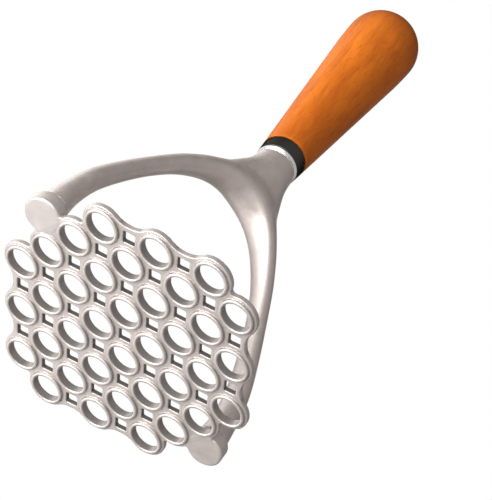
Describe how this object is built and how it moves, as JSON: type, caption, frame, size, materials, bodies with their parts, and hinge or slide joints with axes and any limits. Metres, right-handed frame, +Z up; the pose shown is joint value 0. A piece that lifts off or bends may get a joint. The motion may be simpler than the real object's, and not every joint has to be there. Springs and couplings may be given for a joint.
{
  "type": "potato masher",
  "caption": "Hand potato masher: a cast plate of rings and diamond holes on a two-armed cast yoke, with a turned wooden handle held by a stud through a ferrule.",
  "frame": {"origin": "middle of the mashing plate, level with the flat tops of its rims, which the masher stands on", "axes": "+Z up along the handle's axis; X through the two arms and lugs; Y along the plate's long rows of rings"},
  "size_m": [0.1048, 0.0994, 0.2336],
  "materials": {
    "mashing_plate": "cast, satin, warm grey, with brighter rounded rims",
    "yoke": "cast, satin, warm grey",
    "neck_ring": "polished bevel",
    "ferrule": "smooth dark gunmetal, glossy",
    "handle": "orange-brown hardwood with fine lengthwise grain and a satin varnish",
    "tang_stud": "plain steel",
    "threaded_insert": "plain brass"
  },
  "bodies": {
    "root": {"mashing_plate": "mashing_plate", "yoke": "yoke", "neck_ring": "neck_ring", "ferrule": "ferrule", "handle": "handle", "tang_stud": "tang_stud", "threaded_insert": "threaded_insert"}
  },
  "joints": []
}
